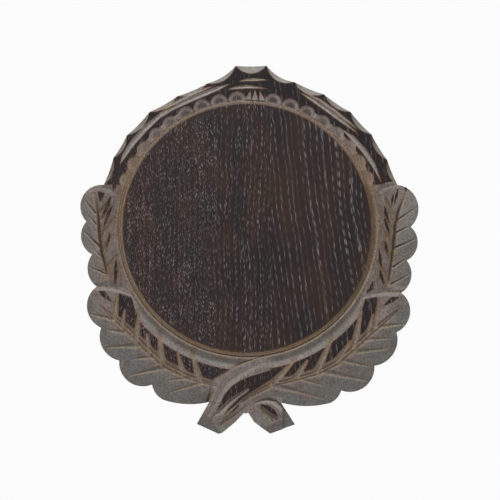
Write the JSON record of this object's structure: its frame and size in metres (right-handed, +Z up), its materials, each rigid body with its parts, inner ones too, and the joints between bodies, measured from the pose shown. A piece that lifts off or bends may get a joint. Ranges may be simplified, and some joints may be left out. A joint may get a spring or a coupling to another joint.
{
  "type": "carved trophy plaque",
  "caption": "Carved oak wall shield with a round flat field for a trophy, scalloped crest, oak leaves, crossed stems and a ring hanger in the back.",
  "frame": {"origin": "centre of the round field, on the flat back that lies on the wall", "axes": "+Z up as it hangs, +X to the right as seen from the front, the carved face looks along -Y and the back lies on the plane y = 0"},
  "size_m": [0.2259, 0.02, 0.2456],
  "materials": {
    "stained_oak": "near-black stain with limed pores; carved cuts grey to golden brown",
    "zinc_plated_strap": "zinc-plated sheet",
    "zinc_plated_wire": "zinc-plated wire",
    "zinc_plated_screw": "zinc-plated screw"
  },
  "bodies": {
    "board": {"stave_left": "stained_oak", "stave_middle": "stained_oak", "stave_right": "stained_oak", "hanger_strap": "zinc_plated_strap", "hanger_screw_upper": "zinc_plated_screw", "hanger_screw_lower": "zinc_plated_screw"},
    "ring": {"hanger_ring": "zinc_plated_wire"}
  },
  "joints": [
    {"name": "ring_swing", "type": "hinge", "parent": "board", "child": "ring", "pos_m": [0, -0.0038, 0.066], "axis": [-1, 0, 0], "range_deg": [-2, 176]}
  ]
}
